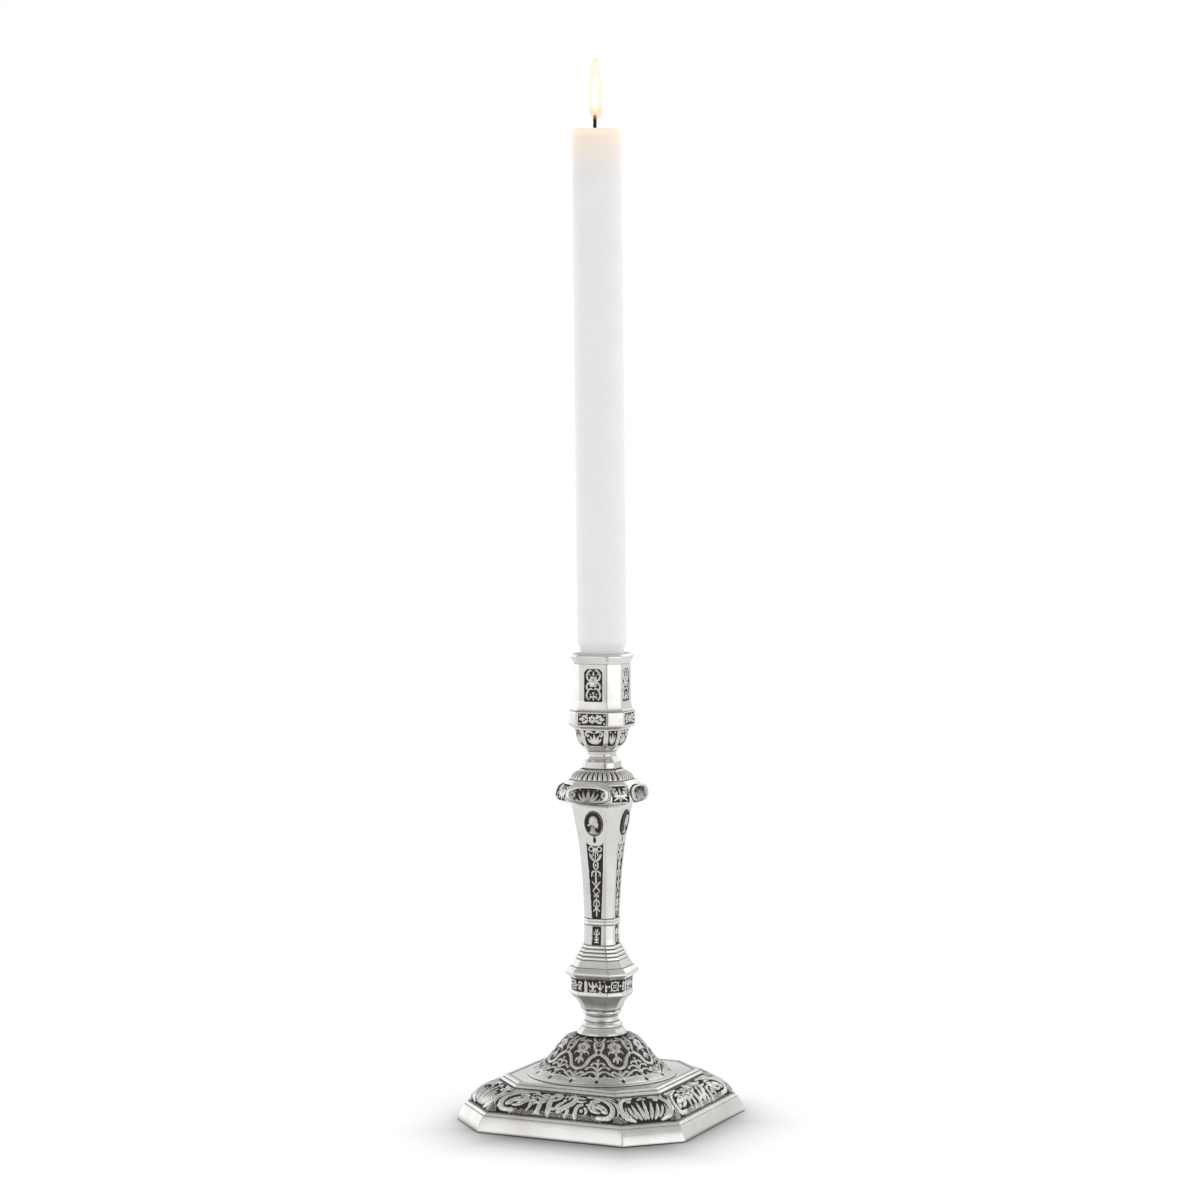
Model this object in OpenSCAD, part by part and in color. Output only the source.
// Ornate candlestick: a square foot with cut corners, a domed centre and an octagonal column.
// The column is a stack of cast sections, each with a spigot that seats in the next one,
// clamped between two nuts on a central tie rod.

/* [Foot] */
// Width of the foot across its main faces
base_w = 120; // [116:0.2:126]
// Height of the foot's flat top above the table
base_h = 21.2; // [20.5:0.1:23]
// Height of the plain skirt
skirt_h = 9.2; // [8:0.1:10]
// Corner cut of the foot, as a share of its half width
base_cut = 0.37; // [0.34:0.005:0.4]
// Wall thickness of the foot casting
base_wall = 2.4; // [2:0.1:4]
// Radius of the domed centre where it meets the flat top
dome_r = 36.7; // [35:0.1:37.5]

/* [Column] */
// Corner cut of the column's sections, as a share of their half width
column_cut = 0.43; // [0.38:0.01:0.46]
// Turn of the column against the foot, in degrees
column_turn = 4.4; // [0:0.1:10]
// Half width of the stem at its foot
stem_foot = 7.7; // [7.5:0.05:8.5]
// Half width of the stem under the capital
stem_head = 13.1; // [12:0.1:14]
// Half width of the knop at its widest
knop_half = 16; // [15.5:0.1:17]
// Half width of the capital at its widest
capital_half = 19.6; // [18.5:0.1:20.5]

/* [Socket] */
// Radius of the hole that holds the candle
socket_bore = 11; // [10.95:0.05:11.1]
// Half width of the socket cup
cup_half = 12.35; // [12.2:0.05:13]
// Half width of the panelled band below the cup
band_half = 14.35; // [14:0.05:15]
// Half width of the rim
rim_half = 13.8; // [13.5:0.05:14.4]

/* [Candle] */
// Radius of the candle
candle_r = 12; // [11.6:0.1:12.6]
// Radius of the candle's narrowed foot
candle_foot_r = 10.7; // [10.5:0.05:10.75]
// Height of the candle above the rim
candle_above = 253; // [120:0.5:280]
// Height of the bare wick
wick_h = 7.5; // [6:0.5:10]

/* [Hardware] */
// Radius of the tie rod
rod_r = 2.5; // [2:0.1:2.8]
// Radius of the locating spigots
spigot_r = 4.5; // [4:0.1:4.8]

/* [Hidden] */

$fn = 96;

// heights of the sections, from the table up
z_dome = base_h;
dome_h = 19.2;
z_collar = z_dome + dome_h;
collar_h = 3.8;
z_lower_ring = z_collar + collar_h;
ring_h = 2.7;
z_spool = z_lower_ring + ring_h;
spool_h = 2.9;
z_upper_ring = z_spool + spool_h;
z_knop_cup = z_upper_ring + ring_h;
knop_cup_h = 7.4;
z_knop = z_knop_cup + knop_cup_h;
knop_h = 14;
z_steps = z_knop + knop_h;
steps_h = 10.4;
z_lower_stem = z_steps + steps_h;
lower_stem_h = 9.8;
z_stem_ring = z_lower_stem + lower_stem_h;
stem_ring_h = 3.2;
z_stem = z_stem_ring + stem_ring_h;
stem_len = 56.3;
z_capital = z_stem + stem_len;
capital_h = 11.3;
z_gadroon = z_capital + capital_h;
gadroon_h = 5.1;
z_neck = z_gadroon + gadroon_h;
neck_h = 8.6;
z_bowl = z_neck + neck_h;
bowl_h = 12;
z_band = z_bowl + bowl_h;
band_h = 7.8;
z_cup = z_band + band_h;
cup_h = 22.8;
z_rim = z_cup + cup_h;
rim_h = 5;

// fits
base_half = base_w / 2;
spigot_h = 1.5;
spigot_gap = 0.1;
hole_r = rod_r + 0.2;
felt_h = 1.2;
felt_drop = 0.3;
skirt_gap = 0.2;
ledge_z = 7.2;
socket_floor = z_cup + 5.2;
socket_nut_h = 2.4;
socket_nut_r = 5.6;
candle_gap = 0.3;
washer_h = 0.8;
washer_r = 7.5;
nut_h = 2.8;
nut_r = 4.6;
nut_z = felt_h + 0.4;
candle_z = socket_floor + candle_gap;
candle_top = z_rim + rim_h + candle_above;
thread_gap = 0.05;

// ---- rows of [height, half width] that outline a section ----

// straight or curved run from a to b; a power over 1 stays near a's half width for longer
function run(a, b, power = 1, n = 6) =
    [for (i = [0:n]) let (t = i / n) [a[0] + (b[0] - a[0]) * t, a[1] + (b[1] - a[1]) * pow(t, power)]];

// run from a to b that swells outward by out at its middle
function swell(a, b, out, n = 8) =
    [for (i = [0:n]) let (t = i / n)
        [a[0] + (b[0] - a[0]) * t, a[1] + (b[1] - a[1]) * t + out * sin(180 * t)]];

// rounded bead of height h that stands out by r from half width w at height z
function bead(z, h, w, out, n = 6) = swell([z, w], [z + h, w], out, n);

// ---- sections ----

// square with cut corners, as points
function octagon(h, cut) = let (c = h - cut * h) [
    [h, -c], [h, c], [c, h], [-c, h], [-h, c], [-h, -c], [-c, -h], [c, -h],
];

// solid through the rows, with the given ring of points at each
module loft(rings, zs) {
    n = len(rings[0]);
    last = len(zs) - 1;
    points = [for (i = [0:last]) for (p = rings[i]) [p[0], p[1], zs[i]]];
    sides = [for (i = [0:last - 1]) for (j = [0:n - 1])
        let (k = (j + 1) % n) [i * n + j, (i + 1) * n + j, (i + 1) * n + k, i * n + k]];
    bottom = [for (j = [0:n - 1]) j];
    top = [for (j = [0:n - 1]) last * n + n - 1 - j];
    polyhedron(points = points, faces = concat([bottom, top], sides), convexity = 6);
}

module octagonal(rows, cut = column_cut) {
    loft([for (r = rows) octagon(r[1], cut)], [for (r = rows) r[0]]);
}

// solid of revolution through the rows
module turned(rows) {
    last = len(rows) - 1;
    rotate_extrude()
        polygon(concat([[0, rows[0][0]]], [for (r = rows) [r[1], r[0]]], [[0, rows[last][0]]]));
}

// one section of the stack: its own solid, with a recess below and a spigot h above its foot
module section(z, h, spigot = true) {
    translate([0, 0, z]) rotate([0, 0, column_turn]) difference() {
        union() {
            children();
            if (spigot) translate([0, 0, h]) cylinder(r = spigot_r, h = spigot_h);
        }
        translate([0, 0, -1]) cylinder(r = spigot_r + spigot_gap, h = spigot_h + spigot_gap + 1);
        translate([0, 0, -1]) cylinder(r = hole_r, h = h + spigot_h + 2);
    }
}

module each_main_face() {
    for (i = [0:3]) rotate([0, 0, 90 * i + column_turn]) children();
}

// ---- foot ----

skirt_rows = concat(
    run([felt_drop, base_half], [skirt_h - 1.5, base_half - 3], 1.6, 7),
    [[skirt_h - 1.3, base_half - 3.5], [skirt_h - 0.5, base_half - 4], [skirt_h - 0.3, base_half - 4.4]]
);
frieze_top = base_half - 17.4;
frieze_w = base_half - 4.6 - frieze_top;
frieze_h = base_h - 2.2 - skirt_h;
frieze_bulge = 0.83;
// between a straight slope and a quarter ellipse
frieze_rows = [for (i = [0:10]) let (t = i / 10) [
    skirt_h + frieze_h * ((1 - frieze_bulge) * t + frieze_bulge * sin(90 * t)),
    frieze_top + frieze_w * ((1 - frieze_bulge) * (1 - t) + frieze_bulge * cos(90 * t)),
]];
moulding_rows = concat(
    swell([base_h - 2, frieze_top - 0.3], [base_h - 0.9, frieze_top - 1.4], 0.45, 4),
    swell([base_h - 0.7, frieze_top - 1.7], [base_h + 0.4, frieze_top - 2.9], 0.45, 4)
);
inner_rows = [
    [felt_drop - 1, base_half - base_wall - 0.9], [ledge_z, base_half - base_wall - 3.5],
];
upper_inner_rows = [
    [ledge_z - 0.1, base_half - 9.2], [skirt_h + 0.6, base_half - 9.6],
    [base_h - base_wall - 0.4, frieze_top - 3.4],
];

module base_casting() {
    color("silver") difference() {
        octagonal(concat(skirt_rows, frieze_rows, moulding_rows), base_cut);
        octagonal(inner_rows, base_cut);
        octagonal(upper_inner_rows, base_cut);
        translate([0, 0, base_h]) octagonal([[0, frieze_top - 3.4], [2, frieze_top - 3.4]], base_cut);
        cylinder(r = hole_r, h = base_h + 2);
    }
}

module ballast_plate() {
    plate_half = base_half - base_wall - 3.5 - skirt_gap;
    color("dimgray") difference() {
        translate([0, 0, felt_h])
            octagonal([[0, plate_half], [ledge_z - felt_h - 0.1, plate_half]], base_cut);
        translate([0, 0, felt_h - 1]) cylinder(r = washer_r + 1, h = nut_z + nut_h + washer_h - felt_h + 1);
        cylinder(r = hole_r, h = base_h);
    }
}

module felt_pad() {
    pad_half = base_half - base_wall - 4;
    color("darkgreen") octagonal([[0, pad_half], [felt_h, pad_half]], base_cut);
}

// ---- dome ----

flare_h = 7.6;
flare_rows = [for (i = [0:8]) let (t = i / 8) [0.7 + flare_h * pow(t, 1.5), dome_r - 0.4 - 10.5 * t]];
dome_rows = concat(
    [[0, dome_r], [0.4, dome_r]], flare_rows,
    [[10.2, 24.5], [12.3, 22.8], [14.2, 21.3], [16.2, 19.5], [17.2, 18.6], [18, 17.4], [18.7, 15.4]],
    [[dome_h, 12.4]]
);
dome_inner_rows = [[-1, 31.5], [0, 31.5], [2.3, 28], [6.8, 23.6], [12.6, 19.8], [15, 17.2], [16.2, 12]];

module dome() {
    color("silver") section(z_dome, dome_h) difference() {
        turned(dome_rows);
        turned(dome_inner_rows);
    }
}

module dome_collar() {
    rows = [[0, 12.2], [0.5, 12.35], [1.4, 11.9], [2.2, 11.2], [3.1, 10.4], [collar_h, 10]];
    sides = 16;
    color("silver") section(z_collar, collar_h)
        loft([for (r = rows) [for (i = [0:sides - 1]) let (a = 360 * i / sides) r[1] * [cos(a), sin(a)]]],
            [for (r = rows) r[0]]);
}

module lower_ring() {
    color("silver") section(z_lower_ring, ring_h)
        turned(concat([[0, 9.9]], swell([0.2, 9.95], [2.3, 8.9], 0.5, 6), [[ring_h, 8.4]]));
}

module spool() {
    color("silver") section(z_spool, spool_h) turned([[0, 8.3], [0.7, 8.15], [2, 8.1], [spool_h, 8.4]]);
}

module upper_ring() {
    color("silver") section(z_upper_ring, ring_h)
        turned(concat([[0, 8.5]], swell([0.3, 8.8], [2.4, 9.2], 0.6, 6), [[ring_h, 9]]));
}

// ---- knop ----

module knop_cup() {
    color("silver") section(z_knop_cup, knop_cup_h) octagonal(concat(
        [[0, 8.7]], run([0.6, 9.2], [7, 13], 1.6, 7), [[knop_cup_h, 13.2]]
    ));
}

module knop() {
    frieze_half = knop_half - 2.6;
    color("silver") section(z_knop, knop_h) octagonal(concat(
        bead(0, 2.1, frieze_half - 0.1, 0.35, 5),
        [[2.3, frieze_half], [5.6, frieze_half]],
        run([6, frieze_half + 0.1], [10.3, knop_half - 0.35], 2.2, 6),
        swell([10.6, knop_half - 0.15], [11.8, knop_half - 0.2], 0.2, 3),
        [[12.6, knop_half - 0.8], [13.3, knop_half - 1.6], [knop_h, knop_half - 2.2]]
    ));
}

module stepped_cap() {
    steps = 4;
    tread = 1.75;
    slope_h = steps_h - steps * tread;
    roll = [[0.06, -0.45], [0.25, 0], [0.75, -0.12], [0.94, -0.5]];
    color("silver") section(z_steps, steps_h) octagonal(concat(
        run([0, 13.5], [slope_h, 11.7], 1, 3),
        [for (i = [0:steps - 1]) for (e = roll) [slope_h + (i + e[0]) * tread, 11.5 - i * 0.85 + e[1]]],
        [[steps_h, 8]]
    ));
}

// ---- stem ----

module lower_stem() {
    color("silver") section(z_lower_stem, lower_stem_h)
        octagonal([[0, 7.9], [3, 7.75], [lower_stem_h, 7.65]]);
}

module stem_ring() {
    color("silver") section(z_stem_ring, stem_ring_h) octagonal(concat(
        [[0, 7.7]], bead(0.1, 1.5, 7.7, 0.35, 4), bead(1.7, 1.4, 7.7, 0.4, 4), [[stem_ring_h, 7.75]]
    ));
}

// half width of the stem at height t, from 0 at its foot to 1 under the capital
function stem_half(t) = stem_foot + (stem_head - stem_foot) * (0.3 * t + 0.7 * pow(t, 2.6));
stem_straight = stem_len - 1.6;
stem_rows = concat(
    [for (i = [0:16]) let (t = i / 16) [stem_straight * t, stem_half(t)]],
    run([stem_straight + 0.4, stem_head + 0.3], [stem_len, stem_head + 1.6], 1.6, 3)
);

module stem() {
    color("silver") section(z_stem, stem_len) octagonal(stem_rows);
}

medallion_z = 46.7;
medallion_tilt = 9.5;
medallion_w = 9.6;
medallion_h = 13.2;
medallion_out = 0.9;

// oval plate standing on its edge, facing +X
module oval(w, h, depth, n = 48) {
    rotate([90, 0, 90]) linear_extrude(depth)
        polygon([for (i = [0:n - 1]) let (a = 360 * i / n) [w / 2 * cos(a), h / 2 * sin(a)]]);
}

module stem_medallions() {
    face = stem_half(medallion_z / stem_straight);
    color("silver") difference() {
        translate([0, 0, z_stem]) each_main_face()
            translate([face, 0, medallion_z]) rotate([0, medallion_tilt, 0])
                translate([-2, 0, 0]) oval(medallion_w, medallion_h, 2 + medallion_out);
        translate([0, 0, z_stem]) rotate([0, 0, column_turn]) octagonal(stem_rows);
    }
}

// ---- capital ----

capital_rows = concat(
    run([0, stem_head + 1.6], [1.3, capital_half - 0.5], 0.6, 3),
    swell([1.7, capital_half - 0.15], [5.4, capital_half - 0.4], 0.25, 4),
    swell([5.8, capital_half - 0.6], [9.8, 15.9], 0.5, 6),
    [[10.6, 15.1], [capital_h, 14.2]]
);

module capital() {
    color("silver") section(z_capital, capital_h) octagonal(capital_rows);
}

module capital_cartouches() {
    cartouche_z = 5;
    cartouche_tilt = -13;
    cartouche_out = 0.9;
    color("silver") difference() {
        translate([0, 0, z_capital]) each_main_face()
            translate([capital_half - 0.5, 0, cartouche_z]) rotate([0, cartouche_tilt, 0])
                translate([-3, 0, 0]) oval(21, 8.4, 3 + cartouche_out);
        translate([0, 0, z_capital]) rotate([0, 0, column_turn]) octagonal(capital_rows);
    }
}

module gadroon_cap() {
    color("silver") section(z_gadroon, gadroon_h) octagonal(concat(
        [[0, 13.9]], run([0.4, 13.95], [4.2, 10.6], 2.2, 7), [[4.7, 9.6], [gadroon_h, 9.3]]
    ));
}

// ---- socket ----

module socket_neck() {
    color("silver") section(z_neck, neck_h) octagonal(concat(
        [[0, 8.4], [0.5, 8.6], [3.1, 8.5], [3.7, 8.2]], run([4.1, 7.8], [6.3, 6.3], 0.8, 4),
        [[7, 6.2], [neck_h, 6.45]]
    ));
}

module socket_bowl() {
    color("silver") section(z_bowl, bowl_h) octagonal(concat(
        [[0, 6.6]], swell([0.3, 6.8], [7.6, 11.2], 0.9, 8), [[9.8, 11.5], [11.2, 12.1], [bowl_h, 13]]
    ));
}

module socket_band() {
    color("silver") section(z_band, band_h) octagonal([
        [0, band_half - 0.9], [0.6, band_half - 0.1], [1.2, band_half],
        [6.6, band_half], [7.2, band_half - 0.05], [band_h, band_half - 0.4],
    ]);
}

module socket_cup() {
    color("silver") difference() {
        section(z_cup, cup_h, spigot = false) octagonal(concat(
            run([0, cup_half + 1.6], [3.6, cup_half + 0.15], 0.5, 5), [[4.8, cup_half], [cup_h, cup_half]]
        ));
        translate([0, 0, socket_floor]) cylinder(r = socket_bore, h = cup_h);
        translate([0, 0, socket_floor - socket_nut_h - 0.2]) cylinder(r = socket_nut_r + 0.2, h = cup_h);
    }
}

module socket_rim() {
    color("silver") translate([0, 0, z_rim]) rotate([0, 0, column_turn]) difference() {
        octagonal(concat(
            run([0, cup_half], [1.9, cup_half + 0.7], 2, 4),
            swell([2.4, rim_half - 0.45], [rim_h - 0.7, rim_half - 0.4], 0.4, 5),
            [[rim_h - 0.2, rim_half - 0.9], [rim_h, rim_half - 1.5]]
        ));
        translate([0, 0, -1]) cylinder(r = socket_bore, h = rim_h + 2);
        translate([0, 0, rim_h - 0.5]) cylinder(r1 = socket_bore, r2 = socket_bore + 0.6, h = 0.6);
    }
}

// ---- hardware ----

module tie_rod() {
    color("gray") translate([0, 0, nut_z - 0.1]) cylinder(r = rod_r, h = socket_floor - 0.3 - nut_z);
}

module socket_nut() {
    slot = [1.4, 3 * socket_nut_r, 1];
    color("darkgoldenrod") translate([0, 0, socket_floor - socket_nut_h - 0.2]) difference() {
        cylinder(r = socket_nut_r, h = socket_nut_h);
        translate([0, 0, -1]) cylinder(r = rod_r + thread_gap, h = socket_nut_h + 2);
        translate([-slot[0] / 2, -slot[1] / 2, socket_nut_h - slot[2]]) cube([slot[0], slot[1], slot[2] + 1]);
    }
}

module base_washer() {
    color("gray") translate([0, 0, nut_z + nut_h]) difference() {
        cylinder(r = washer_r, h = washer_h);
        translate([0, 0, -1]) cylinder(r = rod_r + 0.1, h = washer_h + 2);
    }
}

module base_nut() {
    color("gray") translate([0, 0, nut_z]) difference() {
        cylinder(r = nut_r, h = nut_h, $fn = 6);
        translate([0, 0, -1]) cylinder(r = rod_r + thread_gap, h = nut_h + 2);
    }
}

// ---- candle ----

wick_r = 1.15;

module candle() {
    taper_z = z_rim + rim_h + 3.6;
    color("ivory") difference() {
        rotate_extrude() polygon([
            [0, candle_z], [candle_foot_r - 0.6, candle_z],
            [candle_foot_r, candle_z + 1], [candle_foot_r, taper_z - 1],
            [candle_r - 0.7, taper_z + 0.5], [candle_r, taper_z + 2.2], [candle_r, candle_top - 1],
            [candle_r - 0.6, candle_top - 0.2], [candle_r - 1.4, candle_top],
            [candle_r - 4, candle_top - 1.2], [0, candle_top - 2],
        ]);
        translate([0, 0, candle_z + 4]) cylinder(r = wick_r + thread_gap, h = candle_top);
    }
}

module wick() {
    bend = 9;
    color("black") union() {
        translate([0, 0, candle_z + 4]) cylinder(r = wick_r, h = candle_top - candle_z - 1.6);
        translate([0, 0, candle_top + 2]) rotate([0, bend, 0]) cylinder(r = wick_r, h = wick_h - 2);
    }
}

felt_pad();
ballast_plate();
base_casting();
dome();
dome_collar();
lower_ring();
spool();
upper_ring();
knop_cup();
knop();
stepped_cap();
lower_stem();
stem_ring();
stem();
stem_medallions();
capital();
capital_cartouches();
gadroon_cap();
socket_neck();
socket_bowl();
socket_band();
socket_cup();
socket_rim();
tie_rod();
socket_nut();
base_washer();
base_nut();
candle();
wick();
